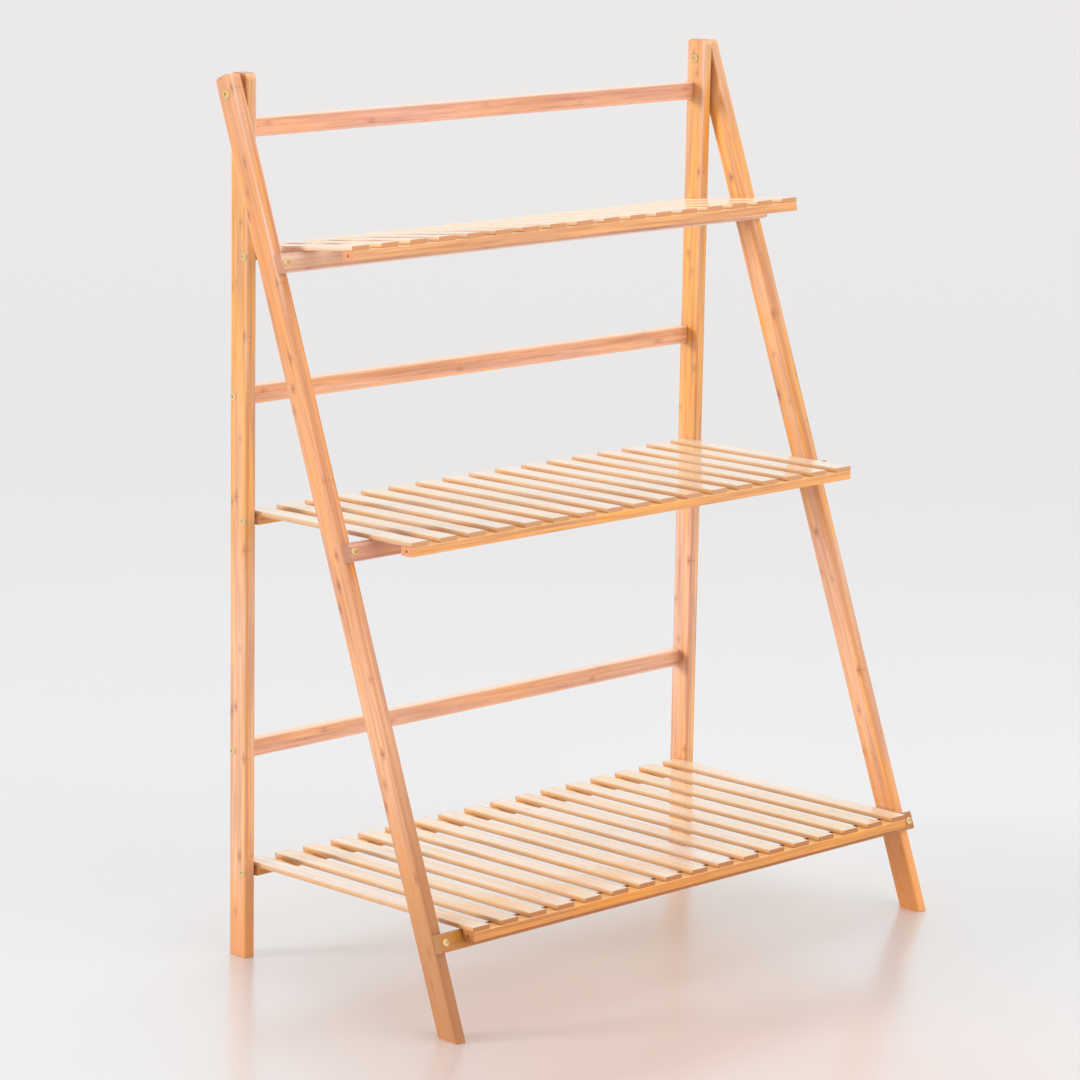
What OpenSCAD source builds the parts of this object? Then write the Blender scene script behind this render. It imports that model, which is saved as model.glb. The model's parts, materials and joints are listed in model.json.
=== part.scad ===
// Folding three-tier ladder stand for plants, made of varnished bamboo strips.
// Two upright posts and three crossbars form the rear frame. Two slanting legs
// and three crossbars form the front frame, which hangs on a bolt at each post.
// Each shelf turns on two screws through the posts and lies on a front crossbar.
// X runs across the stand, the front is at -Y, and Z = 0 is the floor.

/* [Overall] */
// Height of the two rear posts
post_h = 960; // [860:5:1060]
// Width over the outer faces of the rear posts
frame_w = 688; // [560:2:800]

/* [Posts and legs] */
// Thickness of a rear post, across the stand
post_t = 13; // [12:0.5:18]
// Thickness of a front leg, across the stand
leg_t = 13; // [12:0.5:18]
// Depth of a front leg, front to back
leg_d = 29; // [25:0.5:34]
// Radius along the long edges of posts and legs
edge_r = 2.5; // [1:0.25:3.5]
// Radius of the top corners of posts and legs
top_r = 8; // [4:0.5:10]
// Length of a front leg above its pivot
leg_head = 20; // [16:0.5:24]

/* [Crossbars] */
// Height of a crossbar
bar_h = 20; // [17:0.5:26]
// Thickness of a rear crossbar, front to back
rear_bar_t = 12; // [10:0.5:16]
// Thickness of a front crossbar, square to the legs
front_bar_t = 11; // [9:0.5:15]
// Radius along the long edges of a crossbar
bar_r = 2; // [0.5:0.25:3]
// Height of the middle of the bottom rear crossbar
rear_bar_bottom_z = 229; // [180:1:300]
// Distance from the top of a post down to the middle of the top rear crossbar
rear_bar_top_drop = 59; // [52:1:80]
// Place of the middle rear crossbar on the way up from the bottom one to the top one
rear_bar_share = 0.577; // [0.54:0.001:0.62]

/* [Shelves] */
// Number of slats on each shelf
slat_count = 17; // [11:2:19]
// Width of a slat
slat_w = 23; // [16:0.5:28]
// Thickness of a slat
slat_t = 5; // [4:0.25:8]
// Bevel along the edges of a slat
slat_bevel = 0.6; // [0.2:0.1:1.2]
// How far the slats reach behind the shelf's pivot
slat_tail = 9.5; // [8:0.25:11]
// Width of a shelf rail, front to back
rail_w = 16; // [12:0.5:18]
// Height of a shelf rail
rail_h = 10; // [8:0.5:14]
// Height of the bottom shelf's pivot
bottom_pivot_z = 96; // [80:1:120]
// Distance from the top of a post down to the top shelf's pivot
top_pivot_drop = 192; // [188:0.5:210]
// Place of the middle shelf's pivot on the way up from the bottom one to the top one
shelf_share = 0.578; // [0.54:0.001:0.6]
// Angle at which the bottom shelf rises to its front
bottom_tilt = 1.6; // [0:0.1:4]
// Angle at which the middle shelf rises to its front
middle_tilt = 1.6; // [0:0.1:4]
// Angle at which the top shelf rises to its front
top_tilt = 6.4; // [2:0.1:8]
// Distance between the middle front crossbar and the rail before it
middle_overhang = 46; // [20:1:60]
// Distance between the top front crossbar and the rail before it
top_overhang = 62; // [30:1:64]

/* [Fold] */
// Angle between the open front legs and the posts
leg_angle = 21; // [18:0.5:21.5]
// Distance from the top of a post down to the leg pivot
pivot_drop = 22; // [18:0.5:26]
// Gap before and behind a shelf that is lifted between the posts
fold_clear = 0.5; // [0.3:0.1:1]
// Gap between a lowered shelf and the front crossbar that carries it
seat_clear = 0.3; // [0.2:0.05:0.5]

/* [Pivot bolts] */
// Diameter of a leg pivot bolt
bolt_d = 6; // [5:0.5:7]
// Diameter of the heads of a pivot bolt and of its sleeve nut
bolt_head_d = 10; // [9:0.5:12]
// Height of the heads of a pivot bolt and of its sleeve nut
bolt_head_h = 2.4; // [1.8:0.1:3]
// Width across the flats of the hexagon socket in a bolt head
bolt_socket = 4; // [3:0.5:5]
// Outer diameter of the barrel of a sleeve nut
sleeve_d = 8.5; // [8:0.25:10]
// Distance that the barrel stops short of the post's outer face
sleeve_short = 2; // [1:0.5:4]
// Diameter of the nylon spacer between a leg and a post
spacer_d = 18; // [14:0.5:24]

/* [Screws] */
// Diameter of a screw
screw_d = 4; // [3:0.25:4.5]
// Diameter of a screw head
screw_head_d = 8.5; // [7.5:0.25:10]
// Height of a screw head
screw_head_h = 1.8; // [1.4:0.1:2.6]
// Width across the flats of the hexagon socket in a screw head
screw_socket = 2.5; // [2:0.5:3]
// Length of a screw in the end of a crossbar or rail
screw_grip = 28; // [20:1:40]
// Length of a front crossbar's screw in the leg
leg_grip = 18; // [12:1:22]
// Thickness of the washer between a shelf rail and a post
washer_t = 1; // [0.6:0.1:2]
// Diameter of that washer
washer_d = 9; // [7:0.5:10]
// Gap between a screw head on a post and the leg that swings past it
head_clear = 1.2; // [0.6:0.1:2]
// Radial clearance of a pivot in its hole, and side clearance of a leg at its spacer
running_clear = 0.05; // [0.03:0.01:0.1]
// Radial clearance of a fixed screw in its hole
fixed_clear = 0.02; // [0.01:0.01:0.04]
// Diameter of the unused pilot hole in each end of a front rail
pilot_d = 3; // [2:0.25:3.5]

/* [Hidden] */
$fn = 48;
LEFT = -1;
RIGHT = 1;

// A lifted shelf hides in the depth of the posts, before the rear crossbars.
post_d = rear_bar_t + slat_t + rail_h + 2 * fold_clear;
// The screw heads on the posts stay inside the gap between post and leg.
leg_gap = screw_head_h + head_clear;
post_in = frame_w / 2 - post_t;
leg_in = frame_w / 2 + leg_gap;
leg_out = leg_in + leg_t;
shelf_w = 2 * (post_in - washer_t);
slat_pitch = (shelf_w - slat_w) / (slat_count - 1);

// Folded flat, the legs' front faces are flush with those of the posts.
pivot_z = post_h - pivot_drop;
pivot_back = post_d - leg_d / 2;

// The stand is centred between the toes of the legs and whatever lies farthest
// back: the rounded heads of the legs or the posts.
toe_reach = pivot_z * tan(leg_angle) + leg_d / 2 / cos(leg_angle);
head_reach = (leg_head - top_r) * sin(leg_angle) + (leg_d / 2 - top_r) * cos(leg_angle) + top_r;
leg_pivot_y = (toe_reach - max(head_reach, pivot_back)) / 2;
rear_y = leg_pivot_y + pivot_back;
shelf_pivot_y = rear_y - rear_bar_t - fold_clear - slat_t - rail_h / 2;

// Distance from a leg's centre line to the front of its crossbars.
bar_front = leg_d / 2 + front_bar_t;

// The top crossbar and the top shelf hang from the top of the posts, the bottom
// ones stand on the floor, and the middle ones share the height between them.
rear_bar_top_z = post_h - rear_bar_top_drop;
rear_bar_middle_z = rear_bar_bottom_z + rear_bar_share * (rear_bar_top_z - rear_bar_bottom_z);
top_pivot_z = post_h - top_pivot_drop;
middle_pivot_z = bottom_pivot_z + shelf_share * (top_pivot_z - bottom_pivot_z);

// Each shelf: [height of its pivot, tilt, distance from its crossbar to its front rail].
TOP = [top_pivot_z, top_tilt, top_overhang];
MIDDLE = [middle_pivot_z, middle_tilt, middle_overhang];
BOTTOM = [bottom_pivot_z, bottom_tilt, seat_clear];

// Point [y, z] on an open leg: a is the distance down the leg from its pivot,
// n the distance before its centre line.
function leg_point(a, n) = [
    leg_pivot_y - a * sin(leg_angle) - n * cos(leg_angle),
    pivot_z - a * cos(leg_angle) + n * sin(leg_angle)
];

// A point [y, z] seen from a shelf's pivot, as [distance forward, height].
function from_shelf(shelf, p) =
    let (y = p[0] - shelf_pivot_y, z = p[1] - shelf[0], t = shelf[1])
    [z * sin(t) - y * cos(t), y * sin(t) + z * cos(t)];

// Distance down the leg to the middle of the crossbar that carries a shelf.
// The rounded front corner of the crossbar lies seat_clear below the slats.
function bar_station(shelf) =
    let (corner = from_shelf(shelf, leg_point(0, bar_front - bar_r)),
         drop = corner[1] + bar_r + seat_clear - rail_h / 2)
    drop / cos(leg_angle - shelf[1]) - bar_r + bar_h / 2;

// Distance forward from a shelf's pivot to the back of its front rail. It is
// measured from the crossbar's front face at the height of the rail's lower edge.
function rail_reach(shelf) =
    let (face = from_shelf(shelf, leg_point(0, bar_front)),
         a = (face[1] + rail_h / 2) / cos(leg_angle - shelf[1]))
    face[0] + a * sin(leg_angle - shelf[1]) + shelf[2];

function slat_end(shelf) = rail_reach(shelf) + rail_w;

// ---- Shapes that several pieces share ----

module rounded_rect(size, r) {
    square([size[0] - 2 * r, size[1]], center = true);
    square([size[0], size[1] - 2 * r], center = true);
    for (x = [-1, 1], y = [-1, 1])
        translate([x * (size[0] / 2 - r), y * (size[1] / 2 - r)])
            circle(r);
}

// A bar along X with its long edges rounded, centred on the origin.
module bar(length, d, h, r) {
    rotate([90, 0, 90])
        linear_extrude(height = length, center = true)
            rounded_rect([d, h], r);
}

// An upright strip with its top at Z = 0 and rounded top corners.
module strip(t, d, length) {
    intersection() {
        translate([0, 0, -length])
            linear_extrude(height = length)
                rounded_rect([t, d], edge_r);
        rotate([90, 0, 90])
            linear_extrude(height = 2 * t, center = true) {
                translate([-d / 2, -length - 1])
                    square([d, length + 1 - top_r]);
                translate([-d / 2 + top_r, -length - 1])
                    square([d - 2 * top_r, length + 1]);
                for (s = [-1, 1])
                    translate([s * (d / 2 - top_r), -top_r])
                        circle(top_r);
            }
    }
}

// A hole along +X from x to x + length.
module hole_x(x, y, z, r, length) {
    translate([x, y, z])
        rotate([0, 90, 0])
            cylinder(r = r, h = length);
}

// A low domed head on Z = 0 with a hexagon socket, as a profile round Z.
module head(d, h, socket) {
    lip = h / 3;
    crown = 0.7 * h;
    difference() {
        rotate_extrude()
            polygon([[0, 0], [d / 2, 0], [d / 2, lip], [d / 2 - crown, h], [0, h]]);
        translate([0, 0, lip])
            cylinder(d = socket / cos(30), h = h, $fn = 6);
    }
}

// A wood screw: its head sits on Z = 0 and its pointed shank runs down -Z.
module screw(length) {
    r = screw_d / 2;
    head(screw_head_d, screw_head_h, screw_socket);
    rotate_extrude()
        polygon([[0, 0], [r, 0], [r, 2 * r - length], [0, -length]]);
}

// What stands along +X on the right is turned to run outwards on either side.
module outward(side) {
    if (side < 0)
        mirror([1, 0, 0])
            children();
    else
        children();
}

module in_leg_frame() {
    translate([0, leg_pivot_y, pivot_z])
        rotate([-leg_angle, 0, 0])
            children();
}

module in_shelf_frame(shelf) {
    translate([0, shelf_pivot_y, shelf[0]])
        rotate([-shelf[1], 0, 0])
            children();
}

// ---- Rear frame ----

rear_bars = [rear_bar_top_z, rear_bar_middle_z, rear_bar_bottom_z];
shelves = [TOP, MIDDLE, BOTTOM];
rear_bar_y = rear_y - rear_bar_t / 2;

module rear_post(side) {
    color([0.96, 0.70, 0.46])
    outward(side)
    difference() {
        translate([frame_w / 2 - post_t / 2, rear_y - post_d / 2, post_h])
            strip(post_t, post_d, post_h);
        hole_x(post_in - 1, leg_pivot_y, pivot_z, sleeve_d / 2 + fixed_clear, post_t + 2);
        for (shelf = shelves)
            hole_x(post_in - 1, shelf_pivot_y, shelf[0], screw_d / 2 + running_clear, post_t + 2);
        for (z = rear_bars)
            hole_x(post_in - 1, rear_bar_y, z, screw_d / 2 + fixed_clear, post_t + 2);
    }
}

module rear_crossbar(z) {
    color([0.94, 0.63, 0.47])
    difference() {
        translate([0, rear_bar_y, z])
            bar(2 * post_in, rear_bar_t, bar_h, bar_r);
        for (side = [LEFT, RIGHT])
            outward(side)
                hole_x(post_in - screw_grip - 1, rear_bar_y, z,
                       screw_d / 2 + fixed_clear, screw_grip + 2);
    }
}

module rear_crossbar_screws(side) {
    color([0.83, 0.68, 0.38])
    outward(side)
        for (z = rear_bars)
            translate([frame_w / 2, rear_bar_y, z])
                rotate([0, 90, 0])
                    screw(post_t + screw_grip);
}

// ---- Front frame ----

leg_mid = (leg_in + leg_out) / 2;

module front_leg(side) {
    color([0.95, 0.68, 0.44])
    outward(side)
    intersection() {
        in_leg_frame()
        difference() {
            translate([leg_mid, 0, leg_head])
                strip(leg_t, leg_d, leg_head + (pivot_z + leg_d) / cos(leg_angle));
            hole_x(leg_in - 1, 0, 0, bolt_d / 2 + running_clear, leg_t + 2);
            for (shelf = shelves)
                translate([leg_mid, leg_grip + 1 - leg_d / 2, -bar_station(shelf)])
                    rotate([90, 0, 0])
                        cylinder(r = screw_d / 2 + fixed_clear, h = leg_grip + 2);
        }
        // The foot is cut level with the floor.
        translate([leg_in - 1, -2 * toe_reach, 0])
            cube([leg_t + 2, 4 * toe_reach, 2 * post_h]);
    }
}

module front_crossbar(shelf) {
    color([0.93, 0.62, 0.46])
    in_leg_frame()
    difference() {
        translate([0, front_bar_t / 2 - bar_front, -bar_station(shelf)])
            bar(2 * leg_out, front_bar_t, bar_h, bar_r);
        for (side = [LEFT, RIGHT])
            translate([side * leg_mid, 1 - leg_d / 2, -bar_station(shelf)])
                rotate([90, 0, 0])
                    cylinder(r = screw_d / 2 + fixed_clear, h = front_bar_t + 2);
    }
}

module front_crossbar_screws(side) {
    color([0.83, 0.68, 0.38])
    in_leg_frame()
        for (shelf = shelves)
            translate([side * leg_mid, -bar_front, -bar_station(shelf)])
                rotate([90, 0, 0])
                    screw(front_bar_t + leg_grip);
}

// ---- Leg pivots ----

sleeve_length = post_t - sleeve_short;

module leg_pivot_bolt(side) {
    color([0.83, 0.68, 0.38])
    outward(side)
    translate([leg_out, leg_pivot_y, pivot_z])
        rotate([0, 90, 0]) {
            shank = leg_out - post_in - 1;
            head(bolt_head_d, bolt_head_h, bolt_socket);
            translate([0, 0, -shank])
                cylinder(d = bolt_d, h = shank);
        }
}

// The nut's flange lies on the inner face of the post, its barrel in the bore.
module leg_pivot_nut(side) {
    color([0.83, 0.68, 0.38])
    outward(side)
    translate([post_in, leg_pivot_y, pivot_z])
        rotate([0, -90, 0])
        difference() {
            union() {
                head(bolt_head_d, bolt_head_h, bolt_socket);
                translate([0, 0, -sleeve_length])
                    cylinder(d = sleeve_d, h = sleeve_length);
            }
            translate([0, 0, -sleeve_length - 1])
                cylinder(r = bolt_d / 2 + fixed_clear, h = sleeve_length + 1 - fixed_clear);
        }
}

module leg_spacer(side) {
    color([0.90, 0.88, 0.82])
    outward(side)
    translate([frame_w / 2, leg_pivot_y, pivot_z])
        rotate([0, 90, 0])
        difference() {
            cylinder(d = spacer_d, h = leg_gap - running_clear);
            translate([0, 0, -1])
                cylinder(r = bolt_d / 2 + running_clear, h = leg_gap + 2);
        }
}

// ---- Shelves ----

module slat(length) {
    b = slat_bevel;
    w = slat_w / 2;
    rotate([90, 0, 0])
        linear_extrude(height = length)
            polygon([[-w + b, 0], [w - b, 0], [w, b], [w, slat_t - b],
                     [w - b, slat_t], [-w + b, slat_t], [-w, slat_t - b], [-w, b]]);
}

module shelf_slats(shelf) {
    color([0.98, 0.80, 0.58])
    in_shelf_frame(shelf)
        for (i = [0 : slat_count - 1])
            translate([(slat_w - shelf_w) / 2 + i * slat_pitch, slat_tail, rail_h / 2])
                slat(slat_end(shelf) + slat_tail);
}

module shelf_front_rail(shelf) {
    color([0.96, 0.66, 0.38])
    in_shelf_frame(shelf)
    translate([0, rail_w / 2 - slat_end(shelf), 0])
    difference() {
        bar(shelf_w, rail_w, rail_h, slat_bevel);
        for (side = [LEFT, RIGHT])
            outward(side)
                hole_x(shelf_w / 2 - screw_grip, 0, 0, pilot_d / 2, screw_grip + 1);
    }
}

module shelf_rear_rail(shelf) {
    color([0.96, 0.66, 0.38])
    in_shelf_frame(shelf)
    difference() {
        bar(shelf_w, rail_w, rail_h, slat_bevel);
        for (side = [LEFT, RIGHT])
            outward(side)
                hole_x(shelf_w / 2 - screw_grip - 1, 0, 0,
                       screw_d / 2 + fixed_clear, screw_grip + 2);
    }
}

module shelf_screw(shelf, side) {
    color([0.83, 0.68, 0.38])
    outward(side)
    translate([frame_w / 2, shelf_pivot_y, shelf[0]])
        rotate([0, 90, 0])
            screw(post_t + washer_t + screw_grip);
}

module shelf_washer(shelf, side) {
    color([0.83, 0.68, 0.38])
    outward(side)
    translate([post_in - washer_t, shelf_pivot_y, shelf[0]])
        rotate([0, 90, 0])
        difference() {
            cylinder(d = washer_d, h = washer_t);
            translate([0, 0, -1])
                cylinder(r = screw_d / 2 + fixed_clear, h = washer_t + 2);
        }
}

// ---- The stand ----

rear_post(LEFT);  // rear_post_left
rear_post(RIGHT);  // rear_post_right
rear_crossbar(rear_bar_top_z);  // rear_crossbar_top
rear_crossbar(rear_bar_middle_z);  // rear_crossbar_middle
rear_crossbar(rear_bar_bottom_z);  // rear_crossbar_bottom
rear_crossbar_screws(LEFT);  // rear_crossbar_screws_left
rear_crossbar_screws(RIGHT);  // rear_crossbar_screws_right

front_leg(LEFT);  // front_leg_left
front_leg(RIGHT);  // front_leg_right
front_crossbar(TOP);  // front_crossbar_top
front_crossbar(MIDDLE);  // front_crossbar_middle
front_crossbar(BOTTOM);  // front_crossbar_bottom
front_crossbar_screws(LEFT);  // front_crossbar_screws_left
front_crossbar_screws(RIGHT);  // front_crossbar_screws_right

leg_pivot_bolt(LEFT);  // leg_pivot_bolt_left
leg_pivot_bolt(RIGHT);  // leg_pivot_bolt_right
leg_pivot_nut(LEFT);  // leg_pivot_nut_left
leg_pivot_nut(RIGHT);  // leg_pivot_nut_right
leg_spacer(LEFT);  // leg_spacer_left
leg_spacer(RIGHT);  // leg_spacer_right

shelf_slats(TOP);  // top_shelf_slats
shelf_front_rail(TOP);  // top_shelf_front_rail
shelf_rear_rail(TOP);  // top_shelf_rear_rail
shelf_screw(TOP, LEFT);  // top_shelf_screw_left
shelf_screw(TOP, RIGHT);  // top_shelf_screw_right
shelf_washer(TOP, LEFT);  // top_shelf_washer_left
shelf_washer(TOP, RIGHT);  // top_shelf_washer_right

shelf_slats(MIDDLE);  // middle_shelf_slats
shelf_front_rail(MIDDLE);  // middle_shelf_front_rail
shelf_rear_rail(MIDDLE);  // middle_shelf_rear_rail
shelf_screw(MIDDLE, LEFT);  // middle_shelf_screw_left
shelf_screw(MIDDLE, RIGHT);  // middle_shelf_screw_right
shelf_washer(MIDDLE, LEFT);  // middle_shelf_washer_left
shelf_washer(MIDDLE, RIGHT);  // middle_shelf_washer_right

shelf_slats(BOTTOM);  // bottom_shelf_slats
shelf_front_rail(BOTTOM);  // bottom_shelf_front_rail
shelf_rear_rail(BOTTOM);  // bottom_shelf_rear_rail
shelf_screw(BOTTOM, LEFT);  // bottom_shelf_screw_left
shelf_screw(BOTTOM, RIGHT);  // bottom_shelf_screw_right
shelf_washer(BOTTOM, LEFT);  // bottom_shelf_washer_left
shelf_washer(BOTTOM, RIGHT);  // bottom_shelf_washer_right
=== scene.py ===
import json
import math

import bpy
from mathutils import Matrix, Vector


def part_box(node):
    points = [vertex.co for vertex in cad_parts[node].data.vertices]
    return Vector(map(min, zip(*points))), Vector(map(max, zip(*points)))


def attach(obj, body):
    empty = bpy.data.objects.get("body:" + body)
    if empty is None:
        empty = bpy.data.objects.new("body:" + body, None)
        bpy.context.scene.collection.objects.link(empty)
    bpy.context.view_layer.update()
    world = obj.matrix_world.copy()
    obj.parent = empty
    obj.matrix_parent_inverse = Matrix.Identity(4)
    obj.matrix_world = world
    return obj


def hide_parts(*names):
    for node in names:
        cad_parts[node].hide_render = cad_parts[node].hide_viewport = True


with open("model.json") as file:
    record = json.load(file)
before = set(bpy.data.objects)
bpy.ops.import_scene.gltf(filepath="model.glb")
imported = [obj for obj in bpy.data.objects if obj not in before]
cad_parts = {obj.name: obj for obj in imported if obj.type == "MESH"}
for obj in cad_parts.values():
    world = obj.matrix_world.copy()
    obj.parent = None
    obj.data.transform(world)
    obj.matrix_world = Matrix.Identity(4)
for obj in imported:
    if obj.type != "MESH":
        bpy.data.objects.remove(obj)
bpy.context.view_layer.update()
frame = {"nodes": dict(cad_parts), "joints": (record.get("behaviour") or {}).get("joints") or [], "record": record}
nodes = frame["nodes"]
bpy.ops.object.select_all(action="DESELECT")


# ---------------------------------------------------------------- Rear posts
# Two upright strips of side-pressed bamboo, 13 by 28 mm, sawn from a laminated
# board, rounded over on every long edge and at the top, and varnished honey.

class Varnish:
    """One value in a finish's node tree. Sums and products of it add Math nodes."""

    def __init__(self, tree, socket=None):
        self.tree = tree
        self.socket = socket

    def node(self, kind, settings=None, sockets=None, output=0):
        """Adds a node: its settings first, then its sockets' values or links."""
        made = self.tree.nodes.new(kind)
        for name, value in (settings or {}).items():
            if name == "stops":
                ramp = made.color_ramp
                while len(ramp.elements) < len(value):
                    ramp.elements.new(0.5)
                for element, (place, colour) in zip(ramp.elements, value):
                    element.position = place
                    element.color = colour
            else:
                setattr(made, name, value)
        for name, value in (sockets or {}).items():
            if isinstance(value, Varnish):
                self.tree.links.new(value.socket, made.inputs[name])
            else:
                made.inputs[name].default_value = value
        return Varnish(self.tree, made.outputs[output])

    def maths(self, operation, *others):
        return self.node("ShaderNodeMath", {"operation": operation},
                         dict(enumerate([self, *others])))

    def flipped(self, operation, other):
        return self.node("ShaderNodeMath", {"operation": operation}, {0: other, 1: self})

    def __add__(self, other):
        return self.maths("ADD", other)

    __radd__ = __add__

    def __mul__(self, other):
        return self.maths("MULTIPLY", other)

    __rmul__ = __mul__

    def __sub__(self, other):
        return self.maths("SUBTRACT", other)

    def __rsub__(self, other):
        return self.flipped("SUBTRACT", other)

    def __truediv__(self, other):
        return self.maths("DIVIDE", other)

    def fall(self, start, end):
        """1 up to start, 0 from end on, and smooth in between."""
        return self.node("ShaderNodeMapRange", {"interpolation_type": "SMOOTHSTEP"},
                         {"Value": self, "From Min": start, "From Max": end,
                          "To Min": 1.0, "To Max": 0.0})

    def tinted(self, share, colour):
        """This colour mixed with another by a share from 0 to 1."""
        return self.node("ShaderNodeMix", {"data_type": "RGBA"},
                         {0: share, 6: self, 7: colour}, output=2)


def srgb(red, green, blue):
    """A colour as a paint chart gives it, 0 to 255, as the shader's linear one."""
    def linear(value):
        value /= 255
        return value / 12.92 if value <= 0.04045 else ((value + 0.055) / 1.055) ** 2.4
    return (linear(red), linear(green), linear(blue), 1.0)


def finish(name):
    """A new material: its name, its starting point, and its one shader node."""
    material = bpy.data.materials.new(name)
    material.use_nodes = True
    tree = material.node_tree
    return material, Varnish(tree), tree.nodes["Principled BSDF"]


def bamboo(name, origin, turn, grain, strip, section, colours, knots, ends, seed,
           board=None, tint_and_bounce=(), foot=None, side=None, top_highlight=None, cut=(172, 108, 70),
           edge=(196, 118, 70), glint_above=None, gloss=1.0):
    """Varnished laminated bamboo.

    origin, turn: the middle of the piece's section, and its turn about X in degrees.
    grain:        which of its axes run (along, across the width, through the thickness).
    strip:        width and thickness of one bamboo strip, in metres, as all sizes here.
    section:      width and thickness of the piece, and the radius of its edges.
    colours:      the amber and the peach tone of the strips, and their brown streaks.
    knots:        distance between the knots along a strip, and how strong they are.
    ends:         where the sawn ends lie along the grain, as (lowest, highest).
    board:        pitch and start of pieces that stand side by side, such as slats.
    tint_and_bounce: stretches pushed towards peach, or towards amber for a negative share, partly the strips' own
    tone and partly painted light, the orange light the shelves throw back: (middle, half length, share).
    foot:         the foot of an upright, darker with painted shade near the floor: (height, shade tone, shade tone of its front face).
    side:         the tone of a slat's narrow sides: painted light and shade, mostly the shade of the neighbouring slats.
    top_highlight: the tone of a bar's or rail's upper face, a painted highlight of the light from above.
    cut, edge:    the tone of the sawn ends, and of the varnish along the edges; pale on the rear bars, a painted highlight.
    glint_above:  above this height along the grain the edges carry a pale painted highlight, the varnish's glint.
    gloss:        thickness of the clear coat.
    """
    material, start, shader = finish(name)
    place = start.node("ShaderNodeTexCoord", output="Object")
    own = place.node("ShaderNodeMapping", {"vector_type": "TEXTURE"},
                     {"Vector": place, "Location": origin,
                      "Rotation": (math.radians(turn), 0.0, 0.0)})
    axes = [own.node("ShaderNodeSeparateXYZ", None, {0: own}, output=i) for i in range(3)]
    along, wide, thick = (axes[i] for i in grain)
    width, depth, radius = section

    # Each board, and each strip in it, has its own number and so its own tone. The
    # count starts well outside the piece, so that it never falls below zero.
    piece = 0.0
    if board:
        pitch, first = board
        place_in_row = (wide - first) / pitch
        piece = place_in_row.maths("FLOOR")
        wide = place_in_row.maths("FRACT") * pitch - width / 2
    strip_w, strip_t = strip
    column = wide / strip_w + 40.0
    layer = thick / strip_t + 40.0
    number = column.maths("FLOOR") * 7.13 + layer.maths("FLOOR") * 3.71 + piece * 5.39 + seed

    def chances(value):
        """Three random numbers from 0 to 1 for each whole step of a value."""
        colour = value.node("ShaderNodeTexWhiteNoise", {"noise_dimensions": "1D"},
                            {"W": value}, output="Color")
        return [colour.node("ShaderNodeSeparateColor", None, {0: colour}, output=i)
                for i in range(3)]

    tone, shift, knot_shift = chances(number)

    # Fibres are long and thin: the noise is drawn out along the grain, and it starts
    # anew in each strip.
    def streaks(across, lengthwise, detail, rough):
        drawn_out = own.node("ShaderNodeCombineXYZ", None,
                             {0: wide * across + number * 9.7, 1: thick * across,
                              2: along * lengthwise + shift * 31.0})
        return drawn_out.node("ShaderNodeTexNoise", None,
                              {"Vector": drawn_out, "Scale": 1.0, "Detail": detail,
                               "Roughness": rough})

    fibre = streaks(across=1100.0, lengthwise=30.0, detail=3.0, rough=0.65)
    vein = streaks(across=340.0, lengthwise=11.0, detail=3.0, rough=0.60)
    band = streaks(across=150.0, lengthwise=7.0, detail=2.0, rough=0.50)
    slow = own.node("ShaderNodeCombineXYZ", None,
                    {0: wide * 12.0 + piece * 3.1 + seed, 1: thick * 12.0, 2: along * 4.5})
    cloud = slow.node("ShaderNodeTexNoise", None,
                      {"Vector": slow, "Scale": 1.0, "Detail": 2.0, "Roughness": 0.5})

    # Knots: a soft brown patch in one strip, with a fine dark line across it.
    spacing, strength = knots
    place_of_knot = along / spacing + knot_shift
    strong = (chances(place_of_knot.maths("FLOOR") * 2.17 + number)[0] * 0.8 + 0.2) * strength
    to_knot = (place_of_knot.maths("FRACT") - 0.5).maths("ABSOLUTE") * spacing
    ragged = to_knot + (vein - 0.5) * 0.012
    in_strip = ((column.maths("FRACT") - 0.5).maths("ABSOLUTE")).fall(0.25, 0.52)
    knot_patch = ragged.fall(0.0, 0.011) * in_strip * strong
    knot_line = (to_knot + (fibre - 0.5) * 0.004).fall(0.0003, 0.0014) * strong

    # Glue lines between the strips, now strong and now faint.
    def seam(count, size):
        return (0.5 - (count.maths("FRACT") - 0.5).maths("ABSOLUTE")) * size

    glue = seam(column, strip_w).maths("MINIMUM", seam(layer, strip_t)).fall(0.0001, 0.0010)
    glue = glue * (band * 2.6 - 0.75).maths("MAXIMUM", 0.1)

    # The rounded long edges, where the sander went through to darker fibre; on the rear bars their pale tone is a
    # painted highlight instead.
    beyond = (wide.maths("ABSOLUTE") - (width / 2 - radius)).maths(
        "MINIMUM", thick.maths("ABSOLUTE") - (depth / 2 - radius))
    arris = 1.0 - beyond.fall(-radius * 0.3, radius * 0.25)

    # Strips run from amber to peach, each in its own way along its length.
    amber, peach, brown = (srgb(*c) for c in colours)
    share = 0.47 + (tone - 0.5) * 0.55 + (band - 0.5) * 2.0 + (cloud - 0.5) * 1.9
    # Stretches along the piece lean to peach or amber: partly the strips' tone, partly painted light thrown back
    # by the shelves.
    for place_of_tint, half, amount in tint_and_bounce:
        share = share + (along - place_of_tint).maths("ABSOLUTE").fall(half * 0.2, half) * amount
    colour = share.node("ShaderNodeValToRGB",
                        {"stops": ((0.05, amber), (0.95, peach))}, {0: share})
    paler = srgb(*(min(255, c * 1.06) for c in colours[1]))
    knot_brown, knot_dark = srgb(172, 102, 78), srgb(132, 76, 50)
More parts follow.
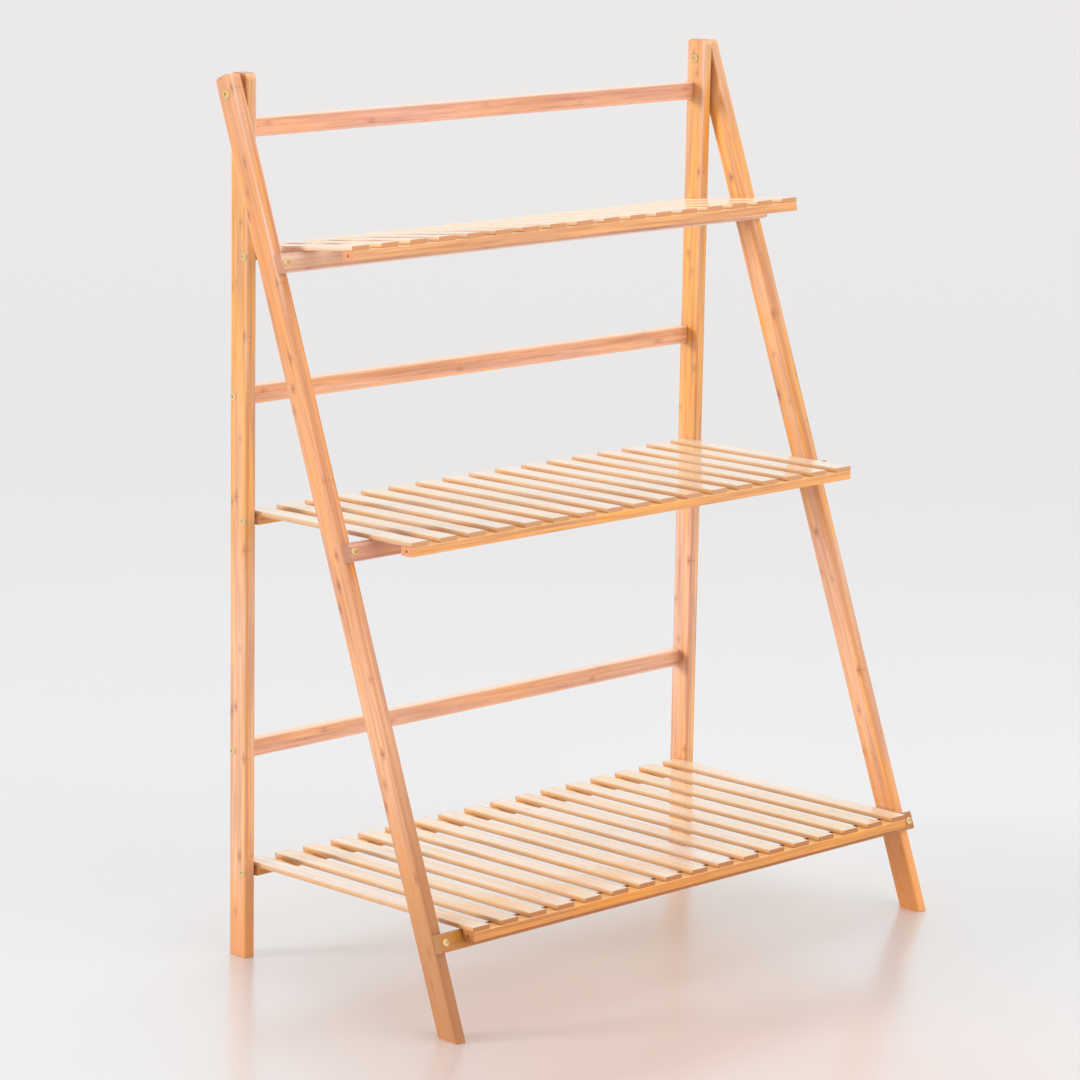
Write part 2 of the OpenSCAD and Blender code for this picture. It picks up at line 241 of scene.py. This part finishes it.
    # painted_glint is the pale colour of a painted highlight on the edges high up.
    glue_brown, painted_glint, in_shade = srgb(170, 96, 54), srgb(255, 218, 190), srgb(176, 104, 50)
    dark_vein = vein.fall(0.32, 0.48)
    dark_fibre = fibre.fall(0.30, 0.46)
    light_fibre = 1.0 - fibre.fall(0.54, 0.68)
    colour = colour.tinted((shift - 0.4).maths("MAXIMUM", 0.0) * 0.30, brown)
    colour = colour.tinted(dark_vein * 0.42, brown)
    colour = colour.tinted(dark_fibre * 0.34, brown)
    colour = colour.tinted(light_fibre * 0.36, paler)
    colour = colour.tinted(knot_patch * 0.80, knot_brown)
    colour = colour.tinted(knot_line * 0.40, knot_dark)
    colour = colour.tinted(glue * 0.55, glue_brown)
    # Where the edge tone is pale, as on the rear bars, it is a painted highlight.
    colour = colour.tinted(arris * 0.42, srgb(*edge))
    # High up, the rounded edges carry a pale painted highlight, in streaks.
    if glint_above is not None:
        glint_zone = 1.0 - along.fall(glint_above, glint_above + 0.08)
        colour = colour.tinted(arris * glint_zone * (band * 1.8 - 0.45), painted_glint)

    # Painted light and shade: the feet darken with painted shade near the floor, the slats' narrow sides take the
    # painted shade of their neighbours, and the bars' and rails' upper faces take a painted highlight.
    low, high = ends
    # The feet: painted shade near the floor, deeper on the front face.
    if foot:
        height, foot_shade_tone, front_shade_tone = foot
        foot_shade_mask = (along - low).fall(height * 0.1, height)
        in_front = wide.fall(0.0010 - width / 2, 0.0032 - width / 2)
        colour = colour.tinted(foot_shade_mask * (0.38 + fibre * 0.7), srgb(*foot_shade_tone))
        colour = colour.tinted(foot_shade_mask * in_front * 0.6, srgb(*front_shade_tone))
    # The slats' narrow sides: painted shade of the neighbouring slats, deepest towards the bottom edge.
    if side:
        on_side = 1.0 - wide.maths("ABSOLUTE").fall(width / 2 - 0.0009, width / 2 - 0.0003)
        colour = colour.tinted(on_side * (0.55 + fibre * 0.6), srgb(*side))
        under = on_side * (0.35 - thick / depth)
        colour = colour.tinted(under * 0.60, in_shade)
    # Upper faces: a painted highlight of the light from above on the varnish.
    if top_highlight:
        rise, half = (wide, width / 2) if grain[1] == 2 else (thick, depth / 2)
        top_highlight_mask = 1.0 - rise.fall(half - 0.0014, half - 0.0004)
        colour = colour.tinted(top_highlight_mask * 0.60, srgb(*top_highlight))

    # Sawn ends drink the varnish: they are browner and dotted with cut fibres.
    sawn = (along - low).fall(0.0001, 0.0009).maths("MAXIMUM", (high - along).fall(0.0001, 0.0009))
    cells = own.node("ShaderNodeTexVoronoi", None, {"Vector": own, "Scale": 1500.0})
    cut_fibre = cells.fall(0.1, 0.5)
    colour = colour.tinted(sawn * 0.92, srgb(*cut))
    colour = colour.tinted(sawn * cut_fibre * 0.4, srgb(*(c * 0.72 for c in cut)))

    rough = 0.30 + fibre * 0.10 + sawn * 0.22 + knot_patch * 0.04
    relief = fibre * 0.35 + dark_vein * -0.25 + knot_line * -0.5 + glue * -0.45
    bump = own.node("ShaderNodeBump", None,
                    {"Strength": 0.35, "Distance": 0.00025, "Height": relief})
    tree = material.node_tree
    tree.links.new(colour.socket, shader.inputs["Base Color"])
    tree.links.new(rough.socket, shader.inputs["Roughness"])
    tree.links.new(bump.socket, shader.inputs["Normal"])
    shader.inputs["IOR"].default_value = 1.5
    shader.inputs["Coat Weight"].default_value = gloss
    shader.inputs["Coat Roughness"].default_value = 0.08 + 0.25 * (1.0 - gloss)
    return material


def coat(material, slot, *names):
    """Gives CAD nodes their finish."""
    for name in names:
        piece = nodes[name]
        piece.data.materials.clear()
        piece.data.materials.append(material)


def middle(name):
    """The middle of a CAD node's box."""
    low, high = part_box(name)
    return (low + high) / 2


post_height = 0.960
post_section = (0.028, 0.013, 0.0025)
post_strip = (0.0070, 0.0065)
post_tones = {"left": ((255, 184, 86), (255, 201, 159), (212, 124, 48)),
              "right": ((255, 187, 92), (255, 206, 176), (218, 128, 54))}
# Peach and amber stretches: partly the strips' tone, partly painted light thrown back by the shelves.
post_tint_and_bounce = ((0.27, 0.22, 0.40), (0.72, 0.26, -0.55), (0.94, 0.08, 0.10))
# The posts' feet: painted shade near the floor.
post_foot_shade = (0.15, (226, 142, 70), (222, 146, 78))
post_glint_above = 0.60
for side, seed in (("left", 3.0), ("right", 8.0)):
    name = "rear_post_" + side
    centre = middle(name)
    coat(bamboo("bamboo_post_" + side, (centre.x, centre.y, 0.0), 0.0, (2, 1, 0),
                post_strip, post_section, post_tones[side], knots=(0.23, 0.9),
                ends=(0.0, post_height), seed=seed, tint_and_bounce=post_tint_and_bounce, foot=post_foot_shade,
                glint_above=post_glint_above),
         "bamboo_post", name)


# ------------------------------------------------------------ Rear crossbars
# Three laminated bars, 12 by 20 mm, glued and screwed between the posts. They
# come from a redder batch than the posts, and their edges are rounded over.

post_inside = 0.331
bar_section = (0.020, 0.012, 0.0020)
bar_strip = (0.0067, 0.0060)
# The bars' pale upper faces: a painted highlight.
bar_top_highlight = (255, 238, 214)
# The bars' pale edge tone: a painted highlight on their rounded edges.
bar_edge_highlight = (252, 204, 178)
bar_tones = {"bottom": ((252, 187, 135), (254, 208, 186), (208, 133, 98)),
             "middle": ((255, 189, 130), (255, 204, 178), (220, 135, 98)),
             "top": ((255, 187, 142), (255, 201, 184), (217, 137, 106))}
for level, seed in (("bottom", 11.0), ("middle", 13.0), ("top", 16.0)):
    name = "rear_crossbar_" + level
    coat(bamboo("bamboo_" + name, middle(name), 0.0, (0, 2, 1), bar_strip, bar_section,
                bar_tones[level], knots=(0.31, 0.5), ends=(-post_inside, post_inside),
                seed=seed, top_highlight=bar_top_highlight, edge=bar_edge_highlight, gloss=0.5),
         "bamboo_crossbar", name)


# ---------------------------------------------------------------- Front legs
# Two slanting strips like the posts, 13 by 29 mm, with rounded heads above the
# pivot bolts and feet sawn level with the floor.

leg_pivot = next(Vector(j["pos_m"]) for j in frame["joints"] if j["name"] == "front_frame_fold")
leg_slant = -21.0
leg_section = (0.029, 0.013, 0.0025)
leg_strip = (0.0073, 0.0065)
leg_tones = {"left": ((255, 172, 87), (252, 194, 153), (199, 111, 48)),
             "right": ((255, 182, 85), (255, 203, 166), (211, 119, 47))}
# The legs' feet: painted shade near the floor and below the bottom shelf, slight on the right leg.
leg_foot_shade = {"left": (0.36, (176, 112, 46), (168, 100, 40)),
            "right": (0.22, (255, 160, 66), (238, 160, 78))}
# Peach and amber stretches: partly the strips' tone, partly painted light thrown back by the shelves.
leg_tint_and_bounce = ((-0.70, 0.20, 0.40), (-0.26, 0.26, -0.30), (0.0, 0.08, 0.10))
leg_glint_above = -0.26

# How far the leg goes down and up from its pivot, along its own slant.
leg_below, leg_above = -1.010, 0.020
for side, seed in (("left", 23.0), ("right", 29.0)):
    name = "front_leg_" + side
    coat(bamboo("bamboo_leg_" + side, (middle(name).x, leg_pivot.y, leg_pivot.z), leg_slant,
                (2, 1, 0), leg_strip, leg_section, leg_tones[side], knots=(0.21, 1.0),
                ends=(leg_below, leg_above), seed=seed, tint_and_bounce=leg_tint_and_bounce,
                foot=leg_foot_shade[side], glint_above=leg_glint_above),
         "bamboo_leg", name)


# ----------------------------------------------------------- Front crossbars
# Three bars screwed flat on the front faces of the legs, 11 by 20 mm. Each
# carries the front of one shelf.

leg_outside = 0.360
front_section = (0.020, 0.011, 0.0020)
front_strip = (0.0067, 0.0055)
front_edge = (196, 120, 84)
# The lower bars' darker tones are partly their own and partly painted shade beneath the rails and shelves.
front_tones_with_shade = {"top": ((255, 216, 180), (255, 230, 227), (247, 155, 125)),
               "middle": ((240, 179, 143), (243, 194, 178), (180, 118, 91)),
               "bottom": ((194, 133, 55), (194, 144, 81), (140, 83, 35))}
front_cuts = {"top": (200, 138, 104), "middle": (182, 126, 96), "bottom": (176, 126, 78)}
for level, seed in (("top", 37.0), ("middle", 41.0), ("bottom", 44.0)):
    name = "front_crossbar_" + level
    coat(bamboo("bamboo_" + name, middle(name), leg_slant, (0, 2, 1), front_strip,
                front_section, front_tones_with_shade[level], knots=(0.25, 0.5),
                ends=(-leg_outside, leg_outside), seed=seed, cut=front_cuts[level],
                edge=front_edge, gloss=0.3),
         "bamboo_crossbar", name)


# ------------------------------------------------------------------- Shelves
# Each shelf is 17 slats, 23 by 5 mm, glued over a front and a rear rail. The
# slats are thin side-pressed boards, so no two of them have quite one tone. Two
# screws through the posts carry the rear rail.

shelf_half = 0.330
shelf_tilts = {"top": 6.4, "middle": 1.6, "bottom": 1.6}
slat_section = (0.023, 0.005, 0.0006)
slat_strip = (0.0077, 0.0100)
slat_count = 17
slat_pitch = (2 * shelf_half - slat_section[0]) / (slat_count - 1)
slat_tail = 0.0095
slat_edge = (188, 112, 52)
rail_section = (0.016, 0.010, 0.0006)
rail_strip = (0.0080, 0.0100)
# The rails' pale upper faces, seen between the slats: a painted highlight.
rail_top_highlight = (255, 212, 146)
rail_edge = (240, 168, 104)
slat_rise = (rail_section[1] + slat_section[1]) / 2
# The slats' pale peach is partly their own tone, partly a painted sheen on their tops.
slat_tones_with_sheen = {"top": ((255, 224, 165), (255, 238, 213), (237, 174, 114)),
              "middle": ((255, 234, 192), (255, 248, 236), (240, 181, 128)),
              "bottom": ((255, 226, 178), (255, 240, 229), (231, 170, 111))}
# Painted light and shade on the slats' narrow sides, mostly the shade their neighbours cast.
slat_side_light_and_shade = {"top": (255, 222, 188), "middle": (222, 177, 128), "bottom": (222, 172, 114)}
slat_cuts = {"top": (218, 142, 86), "middle": (212, 145, 87), "bottom": (186, 106, 10)}
rail_cuts = {"top": (226, 152, 110), "middle": (224, 154, 112), "bottom": (178, 120, 70)}
rail_tones = {"top": ((255, 186, 121), (254, 202, 158), (210, 132, 80)),
              "middle": ((255, 178, 86), (255, 190, 127), (218, 130, 65)),
              "bottom": ((253, 167, 62), (251, 182, 102), (206, 120, 48))}
for shelf, seed in (("top", 2.0), ("middle", 5.0), ("bottom", 9.0)):
    tilt = shelf_tilts[shelf]
    slope = math.radians(tilt)
    pivot = next(Vector(j["pos_m"]) for j in frame["joints"] if j["name"] == shelf + "_shelf_lift")
    reach = (pivot.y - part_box(shelf + "_shelf_slats")[0].y) / math.cos(slope)
    slat_layer = Vector((0.0, slat_rise * math.sin(slope), slat_rise * math.cos(slope)))
    coat(bamboo("bamboo_slats_" + shelf, pivot + slat_layer, -tilt, (1, 0, 2), slat_strip,
                slat_section, slat_tones_with_sheen[shelf], knots=(0.30, 0.22),
                ends=(-reach, slat_tail), seed=50.0 + seed,
                board=(slat_pitch, -shelf_half), side=slat_side_light_and_shade[shelf],
                cut=slat_cuts[shelf], edge=slat_edge),
         "bamboo_slat", shelf + "_shelf_slats")
    for rail in ("front", "rear"):
        name = shelf + "_shelf_" + rail + "_rail"
        coat(bamboo("bamboo_" + name, middle(name), -tilt, (0, 1, 2), rail_strip,
                    rail_section, rail_tones[shelf], knots=(0.28, 0.3),
                    ends=(-shelf_half, shelf_half), seed=70.0 + seed + len(rail),
                    top_highlight=rail_top_highlight, cut=rail_cuts[shelf], edge=rail_edge, gloss=0.2),
             "bamboo_rail", name)


# ------------------------------------------------------------------- Fixings
# Button-head wood screws, pivot bolts with sleeve nuts, and punched washers: steel
# with a bright brass plating. The heads are cold-formed, with hexagon sockets.

def brass(name):
    material, start, shader = finish(name)
    place = start.node("ShaderNodeTexCoord", output="Object")
    cloud = place.node("ShaderNodeTexNoise", None,
                       {"Vector": place, "Scale": 420.0, "Detail": 3.0, "Roughness": 0.6})
    scratch = place.node("ShaderNodeTexNoise", None,
                         {"Vector": place, "Scale": 1900.0, "Detail": 2.0, "Roughness": 0.5})
    colour = cloud.node("ShaderNodeValToRGB",
                        {"stops": ((0.2, srgb(232, 196, 130)), (0.5, srgb(246, 218, 160)),
                                   (0.8, srgb(255, 240, 204)))}, {0: cloud})
    rough = 0.16 + cloud * 0.14
    bump = place.node("ShaderNodeBump", None,
                      {"Strength": 0.12, "Distance": 0.00005, "Height": scratch})
    tree = material.node_tree
    tree.links.new(colour.socket, shader.inputs["Base Color"])
    tree.links.new(rough.socket, shader.inputs["Roughness"])
    tree.links.new(bump.socket, shader.inputs["Normal"])
    shader.inputs["Metallic"].default_value = 1.0
    return material


plating = brass("brass_fixing")
coat(plating, "brass_fixing", *[n for n in nodes if "washer" in n])
bodies = frame["record"]["behaviour"]["bodies"]


def face(piece, up, height):
    """Selects the faces at one height that look up or down, and goes on editing."""
    bpy.ops.object.mode_set(mode="OBJECT")
    for part in (piece.data.vertices, piece.data.edges, piece.data.polygons):
        part.foreach_set("select", [False] * len(part))
    for flat in piece.data.polygons:
        flat.select = abs(flat.center.z - height) < 1e-6 and flat.normal.z * up > 0.9
    bpy.ops.object.mode_set(mode="EDIT")


def drawn(by, size=1.0):
    """Draws the selected face out along Z, and makes its end wider or narrower."""
    bpy.ops.mesh.extrude_region_move(TRANSFORM_OT_translate={"value": (0.0, 0.0, by)})
    bpy.ops.transform.resize(value=(size, size, 1.0))


def button(name, head, rise, socket, shank, length, tip, bore=0.0):
    """A button-head fixing: its head stands on Z = 0 and its shank goes down.

    head, rise:    the head's width and height.
    socket:        the width across the flats of its hexagon.
    shank, length: the shank's width and how far it goes in.
    tip:           the share of that width at the very end.
    bore:          the width of a sleeve nut's bore.
    """
    bpy.ops.object.select_all(action="DESELECT")
    rim = rise * 0.22
    bpy.ops.mesh.primitive_cylinder_add(vertices=64, radius=head / 2, depth=rim,
                                        location=(0.0, 0.0, rim / 2))
    piece = bpy.context.object
    piece.name = name
    bpy.ops.object.transform_apply(location=True, rotation=True, scale=True)
    bpy.ops.object.mode_set(mode="EDIT")
    bpy.ops.mesh.select_mode(type="FACE")

    # The head is rounded ring by ring, from its rim up to a flat round the socket.
    flat = socket * 0.62 + 0.0004
    face(piece, 1, rim)
    steps = 9
    for step in range(steps):
        now, then = (math.pi / 2 * (1 - s / steps) for s in (step, step + 1))
        bpy.ops.mesh.inset(thickness=(head / 2 - flat) * (math.sin(now) - math.sin(then)))
        bpy.ops.transform.translate(
            value=(0.0, 0.0, (rise - rim) * (math.cos(then) - math.cos(now))))

    # The shank, with a chamfered end, or the nut's sleeve with its bore.
    chamfer = shank * 0.15
    face(piece, -1, 0.0)
    bpy.ops.mesh.inset(thickness=head / 2 - shank / 2)
    drawn(-length + chamfer)
    drawn(-chamfer, tip)
    if bore:
        bpy.ops.mesh.inset(thickness=(shank * tip - bore) / 2)
        drawn(length - 2 * chamfer)
    bpy.ops.object.mode_set(mode="OBJECT")

    # The hexagon socket is cut with a punch whose mouth flares.
    bpy.ops.object.select_all(action="DESELECT")
    floor_of_socket = rise * 0.2
    flare = 0.00018
    lip = rise - flare
    bpy.ops.mesh.primitive_cylinder_add(
        vertices=6, radius=socket / 2 / math.cos(math.radians(30)), depth=lip - floor_of_socket,
        location=(0.0, 0.0, (lip + floor_of_socket) / 2))
    punch = bpy.context.object
    bpy.ops.object.transform_apply(location=True, rotation=True, scale=True)
    bpy.ops.object.mode_set(mode="EDIT")
    bpy.ops.mesh.select_mode(type="FACE")
    face(punch, 1, lip)
    drawn(2 * flare, 1.16)
    bpy.ops.object.mode_set(mode="OBJECT")
    cut = piece.modifiers.new("socket", "BOOLEAN")
    cut.operation = "DIFFERENCE"
    cut.object = punch
    bpy.ops.object.select_all(action="DESELECT")
    piece.select_set(True)
    bpy.context.view_layer.objects.active = piece
    bpy.ops.object.modifier_apply(modifier="socket")
    bpy.ops.object.shade_smooth_by_angle(angle=math.radians(35.0))
    piece.data.materials.clear()
    piece.data.materials.append(plating)
    bpy.ops.object.select_all(action="DESELECT")
    punch.select_set(True)
    bpy.ops.object.delete()
    return piece


def driven(pattern, node, places, turn):
    """Copies of a fixing at their places, joined into one piece for a CAD node."""
    copies = []
    for place in places:
        bpy.ops.object.select_all(action="DESELECT")
        pattern.select_set(True)
        bpy.context.view_layer.objects.active = pattern
        bpy.ops.object.duplicate(linked=False)
        copy = bpy.context.object
        copy.rotation_euler = [math.radians(angle) for angle in turn]
        copy.location = place
        bpy.ops.object.transform_apply(location=True, rotation=True, scale=True)
        copies.append(copy)
    bpy.ops.object.select_all(action="DESELECT")
    for copy in copies:
        copy.select_set(True)
    bpy.context.view_layer.objects.active = copies[0]
    if len(copies) > 1:
        bpy.ops.object.join()
        bpy.context.object.location = (0.0, 0.0, 0.0)
    copies[0].name = node + "_brass"
    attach(copies[0], next(body for body, names in bodies.items() if node in names))
    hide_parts(node)


post_outside = 0.344
wood_screw = {"head": 0.0085, "rise": 0.0018, "socket": 0.0025, "shank": 0.004, "tip": 0.55}
bolt_head = {"head": 0.010, "rise": 0.0024, "socket": 0.004, "tip": 0.75}
shelf_screw = button("shelf_screw", length=0.042, **wood_screw)
rear_screw = button("rear_screw", length=0.041, **wood_screw)
front_screw = button("front_screw", length=0.029, **wood_screw)
pivot_bolt = button("pivot_bolt", length=0.028, shank=0.006, **bolt_head)
sleeve_nut = button("sleeve_nut", length=0.011, shank=0.0085, bore=0.006, **bolt_head)
slant = math.radians(leg_slant)
off_the_bar = Vector((0.0, -math.cos(slant), -math.sin(slant))) * (front_section[1] / 2)
for side, sign in (("left", -1.0), ("right", 1.0)):
    for shelf in ("top", "middle", "bottom"):
        node = shelf + "_shelf_screw_" + side
        driven(shelf_screw, node, [(sign * post_outside, middle(node).y, middle(node).z)],
               (0.0, sign * 90.0, 0.0))
    bars = [middle("rear_crossbar_" + level) for level in ("top", "middle", "bottom")]
    driven(rear_screw, "rear_crossbar_screws_" + side,
           [(sign * post_outside, bar.y, bar.z) for bar in bars], (0.0, sign * 90.0, 0.0))
    bars = [middle("front_crossbar_" + level) for level in ("top", "middle", "bottom")]
    at_leg = middle("front_leg_" + side).x
    driven(front_screw, "front_crossbar_screws_" + side,
           [Vector((at_leg, bar.y, bar.z)) + off_the_bar for bar in bars],
           (90.0 + leg_slant, 0.0, 0.0))
    driven(pivot_bolt, "leg_pivot_bolt_" + side,
           [(sign * leg_outside, leg_pivot.y, leg_pivot.z)], (0.0, sign * 90.0, 0.0))
    driven(sleeve_nut, "leg_pivot_nut_" + side,
           [(sign * post_inside, leg_pivot.y, leg_pivot.z)], (0.0, sign * -90.0, 0.0))
bpy.ops.object.select_all(action="DESELECT")
for pattern in (shelf_screw, rear_screw, front_screw, pivot_bolt, sleeve_nut):
    pattern.select_set(True)
bpy.ops.object.delete()


# ------------------------------------------------------------------- Spacers
# Two nylon discs between the legs and the posts, off-white and slightly waxy.

def nylon(name):
    material, start, shader = finish(name)
    place = start.node("ShaderNodeTexCoord", output="Object")
    cloud = place.node("ShaderNodeTexNoise", None,
                       {"Vector": place, "Scale": 300.0, "Detail": 2.0, "Roughness": 0.5})
    colour = cloud.node("ShaderNodeValToRGB",
                        {"stops": ((0.3, srgb(222, 214, 196)), (0.7, srgb(238, 232, 216)))},
                        {0: cloud})
    rough = 0.38 + cloud * 0.1
    tree = material.node_tree
    tree.links.new(colour.socket, shader.inputs["Base Color"])
    tree.links.new(rough.socket, shader.inputs["Roughness"])
    return material


coat(nylon("nylon_spacer"), "nylon_spacer", "leg_spacer_left", "leg_spacer_right")


# ------------------------------------------------------- Floor, light, camera
# A polished pale floor that keeps the stand's soft shadow, low daylight from behind
# and from the left, a cool light from above, and a soft fill from the front.

def pale_floor():
    bpy.ops.object.select_all(action="DESELECT")
    bpy.ops.mesh.primitive_plane_add(size=80.0, location=(0.0, 0.0, 0.0))
    floor = bpy.context.object
    floor.name = "studio_floor"
    material, start, shader = finish("studio_floor")
    place = start.node("ShaderNodeTexCoord", output="Object")
    cloud = place.node("ShaderNodeTexNoise", None,
                       {"Vector": place, "Scale": 1.6, "Detail": 2.0, "Roughness": 0.5})
    colour = cloud.node("ShaderNodeValToRGB",
                        {"stops": ((0.2, srgb(229, 228, 230)), (0.8, srgb(233, 233, 235)))},
                        {0: cloud})

    # It darkens a little away from the camera.
    x, y = (place.node("ShaderNodeSeparateXYZ", None, {0: place}, output=i) for i in range(2))
    away = x * 0.687 + y * 0.726
    colour = colour.tinted(1.0 - away.fall(0.2, 3.0), srgb(214, 213, 214))

    # A warm patch before the left leg is a painted reflection of the wood, with the warm light it throws into the
    # shadow.
    across, along = x + 0.26, y + 0.46
    from_warm_patch = (across * across + along * along).maths("SQRT")
    colour = colour.tinted(from_warm_patch.fall(0.08, 0.62) * 0.55, srgb(238, 205, 196))
    tree = material.node_tree
    tree.links.new(colour.socket, shader.inputs["Base Color"])
    shader.inputs["Roughness"].default_value = 0.30
    shader.inputs["Coat Weight"].default_value = 1.0
    shader.inputs["Coat Roughness"].default_value = 0.20
    shader.inputs["Coat IOR"].default_value = 1.6
    floor.data.materials.append(material)


pale_floor()

# The world lights the stand evenly. The camera and the varnish see it brighter.
world = bpy.data.worlds.new("studio")
bpy.context.scene.world = world
world.use_nodes = True
background = world.node_tree.nodes["Background"]
surround = Varnish(world.node_tree)
camera_ray = surround.node("ShaderNodeLightPath", output="Is Camera Ray")
mirror_ray = surround.node("ShaderNodeLightPath", output="Is Glossy Ray").maths(
    "MAXIMUM", surround.node("ShaderNodeLightPath", output="Is Transmission Ray"))
strength = 0.64 + camera_ray * 0.16 + mirror_ray * 0.25
world.node_tree.links.new(strength.socket, background.inputs["Strength"])
background.inputs["Color"].default_value = (1.0, 0.96, 0.95, 1.0)


def daylight(name, towards, strength, spread, colour):
    """Parallel light that travels towards a direction, soft over spread degrees.
    The varnish doesn't mirror it, so that the wood's colour shows from every side."""
    lamp = bpy.data.lights.new(name, "SUN")
    lamp.energy = strength
    lamp.angle = math.radians(spread)
    lamp.color = colour
    holder = bpy.data.objects.new(name, lamp)
    bpy.context.scene.collection.objects.link(holder)
    holder.rotation_euler = Vector(towards).to_track_quat("-Z", "Y").to_euler()
    holder.visible_glossy = False


daylight("low_daylight", (1.0, -0.6, -0.22), 2.11, 18.0, (0.99, 0.98, 0.96))
daylight("overhead", (-0.35, -0.45, -1.0), 0.80, 50.0, (0.66, 0.96, 1.0))
daylight("fill", (-0.25, 0.92, -0.28), 1.72, 70.0, (1.0, 0.97, 0.93))

# The photograph's view: a long lens, aimed a little below the stand's middle.
yaw, pitch, roll = math.radians(-43.42), math.radians(12.14), math.radians(1.02)
aim = Vector((0.0, -0.007886, 0.450))
distance, to_the_left, below = 4.54025, 0.05628, 0.00233
back = Vector((math.sin(yaw) * math.cos(pitch), -math.cos(yaw) * math.cos(pitch),
               math.sin(pitch)))
level = Vector((0.0, 0.0, 1.0)).cross(back).normalized()
upright = back.cross(level)
right = level * math.cos(roll) + upright * math.sin(roll)
up = upright * math.cos(roll) - level * math.sin(roll)
lens = bpy.data.cameras.new("camera")
lens.sensor_width = 36.0
lens.lens = 138.92
lens.clip_end = 200.0
camera = bpy.data.objects.new("camera", lens)
bpy.context.scene.collection.objects.link(camera)
stands_at = aim - right * to_the_left - up * below + back * distance
camera.matrix_world = (Matrix.Translation(stands_at)
                       @ Matrix((right, up, back)).transposed().to_4x4())
bpy.context.scene.camera = camera
bpy.context.scene.view_settings.view_transform = "Standard"
